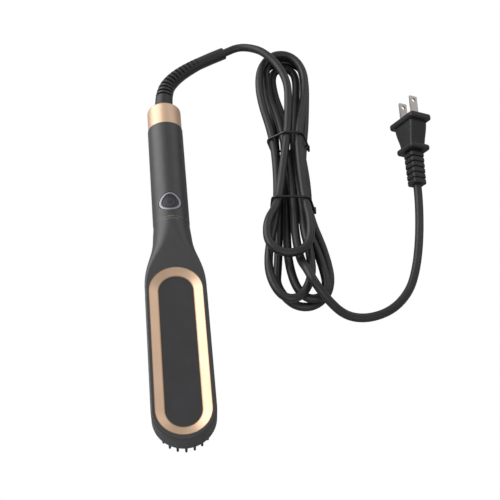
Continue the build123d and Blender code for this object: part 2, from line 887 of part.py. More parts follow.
def make_boot():
    sleeve_start = run_start(lead_points[0], unit(*lead_points[:2]), boot_sleeve_length)
    points = boot_points + [sleeve_start, lead_points[0]]
    path = FilletPolyline(*points, radius=corner_radii(points))
    length = path.length

    def disc(radius_near, radius_far, distance, width):
        """Short cone standing on the path."""
        plane = Plane(origin=path @ (distance / length), z_dir=path % ((distance + width / 2) / length))
        return plane * Pos(0, 0, width / 2) * Cone(radius_near, radius_far, width)

    start = Plane(origin=path @ 0, z_dir=path % 0)
    boot = sweep(start * Circle(boot_core_radius), path=path)
    pieces = [disc(boot_neck_radius, boot_neck_radius - 0.3, 0, boot_neck_length)]
    ribbed = length - boot_neck_length - boot_sleeve_length
    pitch = ribbed / boot_rib_count
    for index in range(boot_rib_count):
        share = index / (boot_rib_count - 1)
        radius = boot_rib_radius_start + (boot_rib_radius_end - boot_rib_radius_start) * share
        distance = boot_neck_length + pitch * (index + 1) - boot_rib_width
        pieces.append(disc(radius, radius - 0.1, distance, boot_rib_width))
    plane = Plane(origin=path @ 1, z_dir=-(path % 1))
    sleeve = Cylinder(boot_sleeve_radius, boot_sleeve_length)
    pieces.append(plane * Pos(0, 0, boot_sleeve_length / 2) * sleeve)
    boot = boot.fuse(*pieces)
    save("strain_relief_boot", boot)
    print(f"strain_relief_boot: length {length:.1f}, solids {len(boot.solids())}")


def run_start(end, direction, length):
    """Point a length back from an end along its direction."""
    return tuple(Vector(*end) - Vector(*direction).normalized() * length)


def unit(first, second):
    return (Vector(*second) - Vector(*first)).normalized()


def tie_round(name, path, along, turn):
    """Wire tie laid tightly round every strand that crosses one line across the hank."""
    flat = Plane(origin=hank_point(along, 0, 0), x_dir=unit(hank_point(0, 0, 0), hank_point(0, 1, 0)),
                 z_dir=unit(hank_point(1, 0, 0), hank_point(0, 0, 0)))
    plane = flat.rotated((0, turn, 0))
    count = int(path.length / 1.0)
    places = [plane.to_local_coords(path @ (index / count)) for index in range(count + 1)]
    centres = []
    for near, far in zip(places, places[1:]):
        if near.Z * far.Z <= 0 and near.Z != far.Z:
            centres.append(near + (far - near) * (near.Z / (near.Z - far.Z)))
    print(name, "strands held", len(centres))
    inner = cord_radius + tie_gap
    outlines = []
    for radius in (inner + 2 * tie_radius, inner):
        rings = [Pos(centre.X, centre.Y) * Circle(radius) for centre in centres]
        outlines.append(make_hull([edge for ring in rings for edge in ring.edges()]))
    outer, hole = (Pos(0, 0, -tie_radius) * extrude(outline, 2 * tie_radius) for outline in outlines)
    tie = fillet((outer - hole).edges().filter_by(GeomType.LINE, reverse=True), 0.3)
    side = max(centres, key=lambda centre: centre.X)
    tie += Pos(side.X + inner + tie_knot_reach, side.Y) * Cylinder(tie_knot_radius, tie_knot_length)
    save(name, plane * tie)


def plug_plane():
    """Plane at the cord's end of the plug: X along its long side, Z towards the blades."""
    yaw, pitch, roll = (math.radians(angle) for angle in (plug_yaw, plug_pitch, plug_roll))
    ahead = Vector(math.sin(yaw) * math.cos(pitch), math.cos(yaw) * math.cos(pitch), math.sin(pitch))
    right = Vector(math.cos(yaw), -math.sin(yaw), 0)
    above = right.cross(ahead)
    long_side = right * math.cos(roll) + above * math.sin(roll)
    half = plug_relief_start / 2 - plug_corner
    short_z = above.Z * math.cos(roll)
    height = half * (abs(long_side.Z) + abs(short_z)) + plug_corner + 0.1
    return Plane(origin=(plug_point[0], tail_y + plug_point[1], height), x_dir=long_side, z_dir=ahead)


def rounded_plate(size, thickness, height, edge=0.0):
    """Rounded rectangle standing on a height, with softened rims where asked."""
    plate = Pos(0, 0, height) * extrude(RectangleRounded(*size, plug_corner), thickness)
    if edge:
        rims = plate.faces().sort_by(Axis.Z)
        plate = fillet(rims[0].edges() + rims[-1].edges(), edge)
    return plate


def make_plug(plane):
    pitch = plug_relief_length / plug_rib_count
    plug = rounded_plate((plug_relief_core, plug_relief_core), plug_relief_length + 1, 0)
    for index in range(plug_rib_count):
        size = plug_relief_start + (plug_relief_end - plug_relief_start) * index / (plug_rib_count - 1)
        plug += rounded_plate((size, size), plug_rib_width, index * pitch, plug_rib_round)
    plug += rounded_plate(plug_back, plug_back_flange, plug_relief_length, plug_back_round)
    front = plug_relief_length + plug_body_length
    span = plug_body_length - plug_back_flange - plug_flange
    sections = []
    for share, swell in plug_swell:
        size = [blend(waist, shoulder, swell) for waist, shoulder in zip(plug_waist, plug_shoulder)]
        height = plug_relief_length + plug_back_flange - plug_seam + (span + 2 * plug_seam) * share
        sections.append(Pos(0, 0, height) * RectangleRounded(*size, plug_corner))
    plug += loft([section.face() for section in sections])
    plug += rounded_plate(plug_face, plug_flange, front - plug_flange, plug_flange_round)
    for name, side in (("plug_blade_left", -1), ("plug_blade_right", 1)):
        x = side * blade_spacing / 2
        blade = block((blade_thickness, blade_width, blade_root + blade_length),
                      (x, 0, front + (blade_length - blade_root) / 2))
        blade = chamfer(blade.faces().sort_by(Axis.Z)[-1].edges(), blade_chamfer)
        hole = Pos(x, 0, front + blade_length - blade_hole_inset) * Rot(0, 90, 0)
        blade -= hole * Cylinder(blade_hole_radius, 4 * blade_thickness)
        plug -= blade
        save(name, plane * blade)
    save("plug_body", plane * plug)


def make_cord():
    solid, path = tube("cord_lead", lead_points, cord_radius)
    save("cord_lead", solid)
    first = run_start(lead_points[-1], unit(lead_points[-2], lead_points[-1]), -cord_diameter)
    join = tail_points[0]
    last = run_start(join, unit(join, tail_points[1]), cord_diameter)
    solid, path = tube("cord_hank", [lead_points[-1], first] + hank_points() + [last, join], cord_radius)
    print("hank least gap to itself", round(least_gap(path, cord_radius), 2))
    save("cord_hank", solid)
    tie_round("tie_upper", path, upper_tie_along, upper_tie_turn)
    tie_round("tie_lower", path, lower_tie_along, lower_tie_turn)
    plane = plug_plane()
    end = tuple(plane.origin)
    print("plug height", round(end[2], 3))
    solid, path = tube(
        "cord_tail", tail_points + [run_start(end, tuple(plane.z_dir), plug_run), end], cord_radius)
    save("cord_tail", solid)
    make_plug(plane)


def wire(points, radius):
    path = FilletPolyline(*points, radius=corner_radii(points))
    start = Plane(origin=path @ 0, z_dir=path % 0)
    return sweep(start * Circle(radius), path=path)


def make_leads():
    core_end = rib_start_y() + rib_length + swivel_end_play - cord_core_length
    terminal_end = terminal_y + terminal_size[1] / 2
    terminal_z = board_top + terminal_size[2] / 2
    for name, side in (("live_lead", -1), ("neutral_lead", 1)):
        points = [
            (side * 1.4, core_end - 0.05, axis_height),
            (side * 1.4, core_end - 2.5, axis_height),
            (side * 5.2, core_end - 7.0, axis_height + 0.8),
            (side * 5.2, tail_screw_y - 3.5, terminal_z - 1.2),
            (side * 3.0, terminal_end + 2.0, terminal_z),
            (side * 3.0, terminal_end, terminal_z),
        ]
        save(name, wire(points, supply_lead_radius))
    middle = window_middle()
    far_y = middle - element_pitch / 2 - element_length / 2 + 4
    near_y = middle + element_pitch / 2 + element_length / 2 + 6
    pair = []
    thin = []
    for side in (-1, 1):
        on_board = board_top + supply_lead_radius
        pair.append(wire([
            (side * heater_lead_x, far_y, heater_lead_z),
            (side * heater_lead_x, near_y, heater_lead_z),
            (side * (heater_lead_x - 1.4), neck_screw_y, heater_lead_z + 0.6),
            (side * (heater_lead_x - 1.9), board_front_y - 0.5, on_board),
            (side * (heater_lead_x - 2.0), board_front_y + 2.5, on_board),
        ], supply_lead_radius))
        sensor_z = clamp_top + sensor_radius
        sensor_end = middle - element_pitch / 2 + sensor_length / 2
        run_z = clamp_top + sensor_lead_radius + 0.1
        on_board = board_top + sensor_lead_radius
        thin.append(wire([
            (side * 0.55, sensor_end, sensor_z),
            (side * 0.55, sensor_end + 2, sensor_z - 0.05),
            (side * sensor_lead_x, sensor_end + 7, run_z),
            (side * (sensor_lead_x + 0.1), near_y, run_z + 0.1),
            (side * sensor_lead_x, neck_screw_y, run_z - 0.6),
            (side * sensor_lead_x, board_front_y - 0.5, on_board),
            (side * (sensor_lead_x + 0.1), board_front_y + 2.5, on_board),
        ], sensor_lead_radius))
    save("heater_leads", solids_of(*pair))
    save("sensor_leads", solids_of(*thin))


make_housings()
make_ring_and_panel()
make_comb()
make_heater()
make_electronics()
make_button()
make_tail()
make_boot()
make_cord()
make_leads()
print(len(written), "nodes")
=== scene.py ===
import math

import bmesh
import bpy
from mathutils import Matrix, Vector


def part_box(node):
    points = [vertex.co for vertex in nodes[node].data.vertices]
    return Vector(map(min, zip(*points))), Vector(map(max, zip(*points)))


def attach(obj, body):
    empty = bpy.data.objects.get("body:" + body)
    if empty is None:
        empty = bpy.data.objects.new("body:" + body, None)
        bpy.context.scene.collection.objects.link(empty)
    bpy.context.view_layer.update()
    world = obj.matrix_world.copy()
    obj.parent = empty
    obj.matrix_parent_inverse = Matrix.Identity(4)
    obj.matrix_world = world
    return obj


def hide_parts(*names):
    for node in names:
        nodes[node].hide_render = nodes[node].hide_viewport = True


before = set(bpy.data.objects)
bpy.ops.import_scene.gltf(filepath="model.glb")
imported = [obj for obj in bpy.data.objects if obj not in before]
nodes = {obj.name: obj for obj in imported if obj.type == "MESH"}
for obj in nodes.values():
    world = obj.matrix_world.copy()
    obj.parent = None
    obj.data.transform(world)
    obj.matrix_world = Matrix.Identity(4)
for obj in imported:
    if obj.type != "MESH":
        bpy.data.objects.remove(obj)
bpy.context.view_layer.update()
MM = 0.001

# Lengths are in millimetres and angles in degrees. Only the lamps, the floor's size and the
# camera's clipping are in metres. +Y runs from the head's tip to the cord, +X is to the right
# seen from the head, +Z is up.

# Handle's axis above the table, and the cord end of the brush
AXIS_Z = 13.2
TAIL_Y = 134.75

# Camera, solved from the outlines of the brush in the photograph
PICTURE_PX = 500.0
FOCAL_PX = 1078.74
SENSOR_WIDTH = 36.0
CAMERA_YAW, CAMERA_PITCH, CAMERA_ROLL = 7.934, 55.451, 2.990
CAMERA_PLACE = (-5.352, -405.933, 618.129)
CLIP_NEAR, CLIP_FAR = 0.01, 20.0


def heading(yaw, pitch):
    """Direction turned from +Y by a yaw to the right and a pitch upwards."""
    yaw, pitch = math.radians(yaw), math.radians(pitch)
    return Vector((math.sin(yaw) * math.cos(pitch), math.cos(yaw) * math.cos(pitch), math.sin(pitch)))


def show(name, data):
    """Put a new object with this data into the scene."""
    obj = bpy.data.objects.new(name, data)
    bpy.context.scene.collection.objects.link(obj)
    return obj


def make_camera():
    """Camera at the photograph's place and angle."""
    data = bpy.data.cameras.new("camera")
    data.sensor_fit = "HORIZONTAL"
    data.sensor_width = SENSOR_WIDTH
    data.lens = FOCAL_PX * SENSOR_WIDTH / PICTURE_PX
    data.clip_start = CLIP_NEAR
    data.clip_end = CLIP_FAR
    ahead = heading(CAMERA_YAW, -CAMERA_PITCH)
    yaw, roll = math.radians(CAMERA_YAW), math.radians(CAMERA_ROLL)
    level_right = Vector((math.cos(yaw), -math.sin(yaw), 0))
    level_up = level_right.cross(ahead)
    right = level_right * math.cos(roll) + level_up * math.sin(roll)
    up = level_up * math.cos(roll) - level_right * math.sin(roll)
    basis = Matrix((right, up, -ahead)).transposed().to_4x4()
    basis.translation = Vector(CAMERA_PLACE) * MM
    camera = show("camera", data)
    camera.matrix_world = basis
    bpy.context.scene.camera = camera


class Finish:
    """One material, built on its principled shader."""

    def __init__(self, name):
        self.material = bpy.data.materials.new(name)
        self.material.use_nodes = True
        self.tree = self.material.node_tree
        self.shader = next(n for n in self.tree.nodes if n.type == "BSDF_PRINCIPLED")
        self.coords = self.tree.nodes.new("ShaderNodeTexCoord").outputs["Object"]

    def link(self, out, into):
        self.tree.links.new(out, into)

    def set(self, socket, value):
        self.shader.inputs[socket].default_value = value

    def drive(self, socket, out):
        self.link(out, self.shader.inputs[socket])

    def places(self):
        """The X, Y and Z of a surface point."""
        node = self.tree.nodes.new("ShaderNodeSeparateXYZ")
        self.link(self.coords, node.inputs["Vector"])
        return node.outputs["X"], node.outputs["Y"], node.outputs["Z"]

    def stretched(self, scale):
        """Coordinates drawn out by a scale for each axis."""
        node = self.tree.nodes.new("ShaderNodeMapping")
        node.inputs["Scale"].default_value = scale
        self.link(self.coords, node.inputs["Vector"])
        return node.outputs["Vector"]

    def noise(self, scale, detail, rough, vector=None):
        node = self.tree.nodes.new("ShaderNodeTexNoise")
        node.inputs["Scale"].default_value = scale
        node.inputs["Detail"].default_value = detail
        node.inputs["Roughness"].default_value = rough
        self.link(vector or self.coords, node.inputs["Vector"])
        return node.outputs["Fac"]

    def spread(self, value, from_low, from_high, low, high):
        """Map a value from one range to another."""
        node = self.tree.nodes.new("ShaderNodeMapRange")
        node.inputs["From Min"].default_value = from_low
        node.inputs["From Max"].default_value = from_high
        node.inputs["To Min"].default_value = low
        node.inputs["To Max"].default_value = high
        self.link(value, node.inputs["Value"])
        return node.outputs["Result"]

    def math(self, operation, *values):
        node = self.tree.nodes.new("ShaderNodeMath")
        node.operation = operation
        for socket, value in zip(node.inputs, values):
            if isinstance(value, (int, float)):
                socket.default_value = value
            else:
                self.link(value, socket)
        return node.outputs[0]

    def blend(self, first, second, share):
        """Sum of two values, the first by its share and the second by the rest."""
        parts = self.math("MULTIPLY", first, share), self.math("MULTIPLY", second, 1 - share)
        return self.math("ADD", *parts)

    def squares(self, first, second):
        return self.math("ADD", self.math("POWER", first, 2.0), self.math("POWER", second, 2.0))

    def near(self, value, centre, half):
        """One where a value lies within half a width of a centre, and zero elsewhere."""
        return self.math("LESS_THAN", self.math("ABSOLUTE", self.math("SUBTRACT", value, centre)), half)

    def tones(self, value, dark, light):
        """Base colour between two tones, from a noise's value."""
        node = self.tree.nodes.new("ShaderNodeValToRGB")
        for element, place, color in zip(node.color_ramp.elements, NOISE_RANGE, (dark, light)):
            element.position = place
            element.color = (*color, 1.0)
        self.link(value, node.inputs["Fac"])
        self.drive("Base Color", node.outputs["Color"])

    def roughness(self, value, low, high):
        self.drive("Roughness", self.spread(value, *NOISE_RANGE, low, high))

    def bump(self, height, strength, distance):
        node = self.tree.nodes.new("ShaderNodeBump")
        node.inputs["Strength"].default_value = strength
        node.inputs["Distance"].default_value = distance
        self.link(height, node.inputs["Height"])
        self.drive("Normal", node.outputs["Normal"])

    def cover(self, mask, ink_and_shade):
        """Lay an ink or a painted shade over the base colour where the mask is one."""
        node = self.tree.nodes.new("ShaderNodeMix")
        node.data_type = "RGBA"
        factor, below, above = node.inputs["Factor"], node.inputs[6], node.inputs[7]
        self.link(mask, factor)
        self.link(self.shader.inputs["Base Color"].links[0].from_socket, below)
        above.default_value = (*ink_and_shade, 1.0)
        self.drive("Base Color", node.outputs[2])


# The part of a noise's range that most of its values lie in
NOISE_RANGE = (0.3, 0.7)

# Moulded plastic: tone drift, wear and the depth of its grain
PLASTIC_CLOUD = 60.0
PLASTIC_WEAR = 1.7
PLASTIC_GRAIN_SHARE = 0.35
PLASTIC_GRAIN_DEPTH = 0.08 * MM

# Metal: tone drift and the depth of its drawn lines
METAL_CLOUD = 45.0
METAL_LINE_DEPTH = 0.03 * MM


def plastic(name, dark, light, rough, grain=2600.0, grain_strength=0.12, specular=0.5, marks=None):
    """Moulded plastic: fine grain, faint tone drift and a roughness that varies with handling."""
    finish = Finish(name)
    finish.tones(finish.noise(PLASTIC_CLOUD, 4.0, 0.55), dark, light)
    fine = finish.noise(grain, 2.0, 0.6)
    wear = finish.noise(PLASTIC_CLOUD * PLASTIC_WEAR, 5.0, 0.65)
    finish.roughness(finish.blend(fine, wear, PLASTIC_GRAIN_SHARE), *rough)
    finish.bump(fine, grain_strength, PLASTIC_GRAIN_DEPTH)
    finish.set("Specular IOR Level", specular)
    if marks:
        marks(finish)
    return finish.material


def metal(name, dark, light, rough, stretch=(40.0, 1400.0, 1400.0), grain=0.06, line_share=0.4, marks=None):
    """Satin metallised finish: fine drawn lines with a little tone drift."""
    finish = Finish(name)
    lines = finish.noise(1.0, 3.0, 0.6, finish.stretched(stretch))
    cloud = finish.noise(METAL_CLOUD, 3.0, 0.55)
    finish.tones(finish.blend(lines, cloud, line_share), dark, light)
    finish.roughness(lines, *rough)
    finish.bump(lines, grain, METAL_LINE_DEPTH)
    finish.set("Metallic", 1.0)
    if marks:
        marks(finish)
    return finish.material


# Plain bars in the place of the print below the button: middle and half sizes
PRINT_BARS = [
    (-7.4, 30.2, 4.2, 0.18),
    (7.4, 30.2, 4.2, 0.18),
    (0.0, 30.2, 2.4, 0.5),
    (0.0, 28.2, 5.0, 0.32),
]
PRINT_INK = (0.16, 0.135, 0.12)


def print_bars(finish):
    """Plain bars on the side above the handle's axis."""
    x, y, z = finish.places()
    mask = None
    for middle_x, middle_y, half_x, half_y in PRINT_BARS:
        bar = finish.math("MULTIPLY", finish.near(x, middle_x * MM, half_x * MM),
                          finish.near(y, middle_y * MM, half_y * MM))
        mask = bar if mask is None else finish.math("MAXIMUM", mask, bar)
    above = finish.math("GREATER_THAN", z, AXIS_Z * MM)
    finish.cover(finish.math("MULTIPLY", mask, above), PRINT_INK)


# The common sign for power on the button: an open ring and a bar through its gap
BUTTON_Y = 42.65
SIGN_RADIUS = 2.6
SIGN_HALF_LINE = 0.3
SIGN_HALF_GAP = 0.9
SIGN_BAR_Y = 1.9
SIGN_BAR_HALF = 1.3
SIGN_INK = (0.085, 0.085, 0.092)


def power_sign(finish):
    """Faint sign on the button's cap."""
    x, part_y, _ = finish.places()
    y = finish.math("SUBTRACT", part_y, BUTTON_Y * MM)
    distance = finish.math("SQRT", finish.squares(x, y))
    ring = finish.near(distance, SIGN_RADIUS * MM, SIGN_HALF_LINE * MM)
    gap = finish.math("MULTIPLY", finish.near(x, 0.0, SIGN_HALF_GAP * MM),
                      finish.math("GREATER_THAN", y, 0.0))
    open_ring = finish.math("MULTIPLY", ring, finish.math("SUBTRACT", 1.0, gap))
    bar = finish.math("MULTIPLY", finish.near(x, 0.0, SIGN_HALF_LINE * MM),
                      finish.near(y, SIGN_BAR_Y * MM, SIGN_BAR_HALF * MM))
    finish.cover(finish.math("MAXIMUM", open_ring, bar), SIGN_INK)


# Painted shade along both borders of the gold ring: a darker brown where it meets the groove round it and
# the recessed panel inside it
RING_BORDER = 0.7
RING_INNER = 11.6
RING_EDGE_SHADE = (0.34, 0.21, 0.13)


def ring_border_shade(finish):
    """Painted shade on both borders of the ring, by the distance from its long middle line."""
    low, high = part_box("gold_ring")
    reach = (high[0] - low[0]) / 2
    middle = (low[1] + high[1]) / 2
    straight = (high[1] - low[1]) / 2 - reach
    x, y, _ = finish.places()
    along = finish.math("ABSOLUTE", finish.math("SUBTRACT", y, middle))
    beyond = finish.math("MAXIMUM", finish.math("SUBTRACT", along, straight), 0.0)
    distance = finish.math("DIVIDE", finish.math("SQRT", finish.squares(beyond, x)), MM)
    outer = finish.spread(distance, reach / MM - RING_BORDER, reach / MM, 0.0, 1.0)
    inner = finish.spread(distance, RING_INNER, RING_INNER + RING_BORDER, 1.0, 0.0)
    # Lay the painted shade over both borders
    finish.cover(finish.math("MAXIMUM", outer, inner), RING_EDGE_SHADE)


def make_materials():
    """Every finish, with its dark and light tone and its range of roughness."""
    housing_tones = (0.017, 0.017, 0.019), (0.025, 0.025, 0.027)
    housing_rough = (0.40, 0.50)
    return {
        "housing": plastic("housing_satin", *housing_tones, housing_rough, specular=0.9),
        "housing_top": plastic("housing_satin_printed", *housing_tones, housing_rough, specular=0.9,
                               marks=print_bars),
        "panel": plastic("panel_matte", (0.036, 0.035, 0.038), (0.046, 0.044, 0.048), (0.55, 0.68),
                         grain=3400.0, grain_strength=0.2),
        "button": plastic("button_satin", (0.026, 0.026, 0.029), (0.036, 0.036, 0.039), (0.36, 0.46),
                          marks=power_sign),
        "rim": metal("rim_satin", (0.26, 0.26, 0.29), (0.33, 0.33, 0.36), (0.44, 0.54)),
        "gold": metal("champagne_gold", (0.71, 0.49, 0.34), (0.77, 0.55, 0.39), (0.34, 0.42),
                      stretch=(40.0, 900.0, 900.0), grain=0.015, line_share=0.3, marks=ring_border_shade),
        "collar": metal("champagne_gold_collar", (0.74, 0.53, 0.38), (0.80, 0.59, 0.44), (0.48, 0.56),
                        stretch=(900.0, 40.0, 900.0), grain=0.015),
        "comb": plastic("comb_matte", (0.028, 0.028, 0.03), (0.038, 0.038, 0.041), (0.42, 0.54)),
        "tips": plastic("tooth_tips", (0.032, 0.032, 0.034), (0.042, 0.042, 0.045), (0.45, 0.58)),
        "aluminium": metal("comb_plate_aluminium", (0.55, 0.55, 0.57), (0.66, 0.66, 0.68), (0.34, 0.46)),
        "steel": metal("zinc_screw", (0.5, 0.5, 0.52), (0.6, 0.6, 0.62), (0.3, 0.42)),
        "cord": plastic("cord_vinyl", (0.020, 0.020, 0.021), (0.030, 0.030, 0.032), (0.34, 0.46),
                        grain=1800.0, grain_strength=0.15),
        "boot": plastic("boot_rubber", (0.022, 0.022, 0.023), (0.032, 0.032, 0.034), (0.38, 0.5),
                        grain=2200.0, grain_strength=0.2),
        "tie": plastic("tie_vinyl", (0.012, 0.012, 0.013), (0.02, 0.02, 0.021), (0.3, 0.42)),
        "plug": plastic("plug_vinyl", (0.016, 0.016, 0.017), (0.024, 0.024, 0.026), (0.36, 0.5),
                        grain=2000.0, grain_strength=0.18),
        "blade": metal("blade_nickel", (0.50, 0.46, 0.43), (0.60, 0.56, 0.53), (0.3, 0.42),
                       stretch=(900.0, 30.0, 900.0)),
        "inner_dark": plastic("inner_dark", (0.02, 0.02, 0.02), (0.03, 0.03, 0.03), (0.4, 0.55)),
        "ceramic": plastic("element_ceramic", (0.66, 0.65, 0.6), (0.76, 0.75, 0.7), (0.5, 0.7)),
        "film": plastic("insulation_film", (0.55, 0.3, 0.06), (0.66, 0.4, 0.1), (0.25, 0.4)),
        "board": plastic("solder_mask", (0.02, 0.12, 0.05), (0.035, 0.18, 0.08), (0.28, 0.42)),
        "yellow": plastic("capacitor_yellow", (0.6, 0.42, 0.05), (0.72, 0.52, 0.1), (0.3, 0.45)),
        "white": plastic("terminal_white", (0.62, 0.62, 0.6), (0.74, 0.74, 0.72), (0.35, 0.5)),
        "clear": plastic("guide_acrylic", (0.7, 0.7, 0.73), (0.8, 0.8, 0.83), (0.15, 0.25)),
        "red": plastic("lead_red", (0.38, 0.03, 0.02), (0.5, 0.05, 0.04), (0.35, 0.5)),
        "blue": plastic("lead_blue", (0.03, 0.08, 0.32), (0.05, 0.12, 0.42), (0.35, 0.5)),
    }


# Nodes that wear each finish
NODE_FINISHES = {
    "housing": ["lower_housing"],
    "housing_top": ["upper_housing"],
    "panel": ["back_panel"],
    "gold": ["gold_ring"],
    "collar": ["tail_collar"],
    "button": ["power_button"],
    "rim": ["button_rim"],
    "comb": ["comb_frame"],
    "tips": ["tooth_tips"],
    "aluminium": ["heater_plate"],
    "steel": ["heater_clamp", "clamp_screws", "frame_screws", "board_screws", "housing_screws",
              "thermal_fuse"],
    "inner_dark": ["temperature_sensor", "power_triac", "tact_switch", "switch_plunger", "swivel_retainer",
                   "swivel_sleeve"],
    "ceramic": ["heating_element_front", "heating_element_rear"],
    "film": ["insulation_sheet"],
    "board": ["main_board"],
    "yellow": ["filter_capacitor"],
    "white": ["terminal_block"],
    "clear": ["light_guide", "indicator_leds"],
    "red": ["heater_leads", "live_lead"],
    "blue": ["sensor_leads", "neutral_lead"],
    "cord": ["cord_core", "cord_lead", "cord_hank", "cord_tail"],
    "boot": ["strain_relief_boot"],
    "tie": ["tie_upper", "tie_lower"],
    "plug": ["plug_body"],
    "blade": ["plug_blade_left", "plug_blade_right"],
}


def dress_nodes(materials):
    """Give every node of the part its finish."""
    for finish, names in NODE_FINISHES.items():
        for name in names:
            mesh = nodes[name].data
            mesh.materials.clear()
            mesh.materials.append(materials[finish])


# Route of the cord's middle line. It follows the solids' cord, with strands of the hank moved
# by up to 3 mm to where the photograph shows them.
CORD_D = 6.0
END_WALL = 2.4

# Hank: its foot from the brush's axis and tail, its lean, and where the ties hold it
HANK_FOOT = (84.9, -83.25)
HANK_TILT = 5.1
WAIST_LOWER = -12.0
WAIST_UPPER = 55.0

# The tangent of 22.5 degrees, which makes a loop's end half of an octagon
CROWN_SHARE = 0.414

# Three strands that turn about one another between the ties
TWIST_ACROSS = (9.3, 8.9, 8.2, 7.9)
TWIST_HEIGHT = 7.6
TWIST_RADIUS = 4.05
TWIST_START = 100.0
TWIST_SPACING = 120.0
TWIST_TURN = 120.0


def hank_point(along, across, height):
    tilt = math.radians(HANK_TILT)
    x = HANK_FOOT[0] + along * math.sin(tilt) + across * math.cos(tilt)
    y = TAIL_Y + HANK_FOOT[1] + along * math.cos(tilt) - across * math.sin(tilt)
    return (x, y, height)


def waist_points(strand, upward):
    """Points of a strand between the ties, given as across and height from the lower to the upper one."""
    points = []
    for index, (across, height) in enumerate(strand):
        share = index / (len(strand) - 1)
        points.append(hank_point(WAIST_LOWER + (WAIST_UPPER - WAIST_LOWER) * share, across, height))
    return points if upward else points[::-1]


def twisted_strand(index):
    """One of three strands that turn about one another by a third of a turn between the ties."""
    strand = []
    for step, centre in enumerate(TWIST_ACROSS):
        share = step / (len(TWIST_ACROSS) - 1)
        angle = math.radians(TWIST_START + TWIST_SPACING * index + TWIST_TURN * share)
        across = centre + TWIST_RADIUS * math.cos(angle)
        strand.append((across, TWIST_HEIGHT + TWIST_RADIUS * math.sin(angle)))
    return strand


def turn_points(end, reach, left, right, height, left_side, right_side):
    """Rounded end of a loop from its left to its right side, on half an octagon drawn out by its reach."""
    middle = (left + right) / 2
    half = (right - left) / 2
    outward = 1 if end > 0 else -1
    shoulder = end - outward * (1 - CROWN_SHARE) * reach
    crown = [
        (shoulder, left),
        (end, middle - CROWN_SHARE * half),
        (end, middle + CROWN_SHARE * half),
        (shoulder, right),
    ]
    left_run = sorted(left_side, key=lambda place: abs(place[0]))
    right_run = sorted(right_side, key=lambda place: -abs(place[0]))
    return [hank_point(along, across, height) for along, across in left_run + crown + right_run]


# Strands between the ties: across and height from the lower tie to the upper one
HANK_STRANDS = {
    "lead": [(-9.0, 18.4), (-4.8, 18.5), (-0.7, 18.4)],
    "short_up": [(10.2, 18.4), (7.4, 18.4), (6.4, 18.3)],
    "first_down": [(-9.2, 11.6), (-8.6, 11.5), (-11.0, 11.5)],
    "first_up": twisted_strand(0),
    "second_down": [(-2.4, 4.9), (-2.0, 4.9), (-2.4, 4.9)],
    "second_up": twisted_strand(1),
    "third_down": [(-8.0, 4.9), (-8.3, 4.9), (-8.8, 4.9)],
    "third_up": twisted_strand(2),
    "tail": [(2.4, 12.8), (0.0, 12.4), (-3.4, 11.9)],
}

# The strand down to each lower loop end and the one up from it, in the cord's order
HANK_ROUNDS = [
    ("lead", "short_up"),
    ("first_down", "first_up"),
    ("second_down", "second_up"),
    ("third_down", "third_up"),
]

# Loop ends: end and reach along the hank, left and right across it, height, and their run-ins
HANK_BOTTOMS = [
    (-56.3, 15.0, -17.3, 12.1, 23.4, [(-30.0, -17.3)], [(-27.0, 12.6)]),
    (-88.0, 29.0, -16.1, 13.1, 16.4, [(-50.0, -16.4)], [(-48.0, 11.6), (-33.0, 8.4)]),
    (-84.0, 16.0, 2.0, 24.2, 9.8, [(-44.0, -3.0), (-60.0, -1.6)], [(-42.0, 17.0)]),
    (-86.5, 27.0, -10.6, 27.4, 3.2, [(-44.0, -8.6), (-58.0, -9.6)], [(-44.0, 24.2)]),
]
HANK_TOPS = [
    (133.8, 27.0, -20.7, 13.7, 16.6, [(90.0, -21.0)], [(91.0, 13.6)]),
    (131.8, 15.0, -10.9, 8.8, 3.2, [(100.0, -8.2), (84.0, -3.2)], [(96.0, 7.6)]),
    (138.8, 20.0, -17.6, 16.3, 3.2, [(104.0, -16.0), (82.0, -10.4)], [(76.0, 14.0)]),
    (138.0, 24.0, -16.5, 13.8, 9.9, [(95.0, -13.4), (80.0, -8.4)], [(92.0, 13.6)]),
]


def hank_points():
    """Strands and loop ends in order, from the end of the lead to the start of the tail."""
    points = []
    for (down, up), bottom, top in zip(HANK_ROUNDS, HANK_BOTTOMS, HANK_TOPS):
        points += waist_points(HANK_STRANDS[down], False)
        points += turn_points(*bottom)
        points += waist_points(HANK_STRANDS[up], True)
        points += turn_points(*top)[::-1]
    points += waist_points(HANK_STRANDS["tail"], False)
    return points


# Points outside the hank, with Y from the cord end of the brush
BOOT_POINTS = [
    (0.0, -END_WALL, AXIS_Z),
    (0.0, 18.25, AXIS_Z),
    (8.6, 33.0, AXIS_Z + 0.8),
    (27.5, 45.6, 15.5),
]
LEAD_POINTS = [
    (49.5, 54.4, 17.0),
    (60.0, 58.6, 18.4),
    (70.0, 54.4, 21.5),
    (79.0, 46.25, 24.6),
    (88.6, 31.75, 24.8),
    (94.0, 14.25, 23.4),
    (92.0, -6.75, 21.0),
]
TAIL_POINTS = [
    (84.8, -110.75, 13.6),
    (84.4, -125.75, 14.8),
    (85.2, -140.75, 15.6),
    (87.4, -152.25, 22.8),
    (91.0, -163.75, 23.8),
    (98.6, -173.35, 16.8),
    (110.6, -180.75, 6.0),
    (126.0, -182.75, 3.2),
    (144.0, -177.25, 3.2),
    (158.0, -163.25, 3.2),
    (166.0, -144.75, 3.2),
    (172.0, -122.75, 3.2),
    (176.2, -101.25, 3.2),
]

# The start of the plug's relief, with Y from the cord end of the brush, and how it is turned
PLUG_POINT = (178.8, -75.95, 6.416)
PLUG_YAW, PLUG_PITCH = 2.2, 13.0
PLUG_RUN = 8.0


def from_tail(points):
    """Places whose Y is given from the cord end of the brush."""
    return [(x, TAIL_Y + y, z) for x, y, z in points]


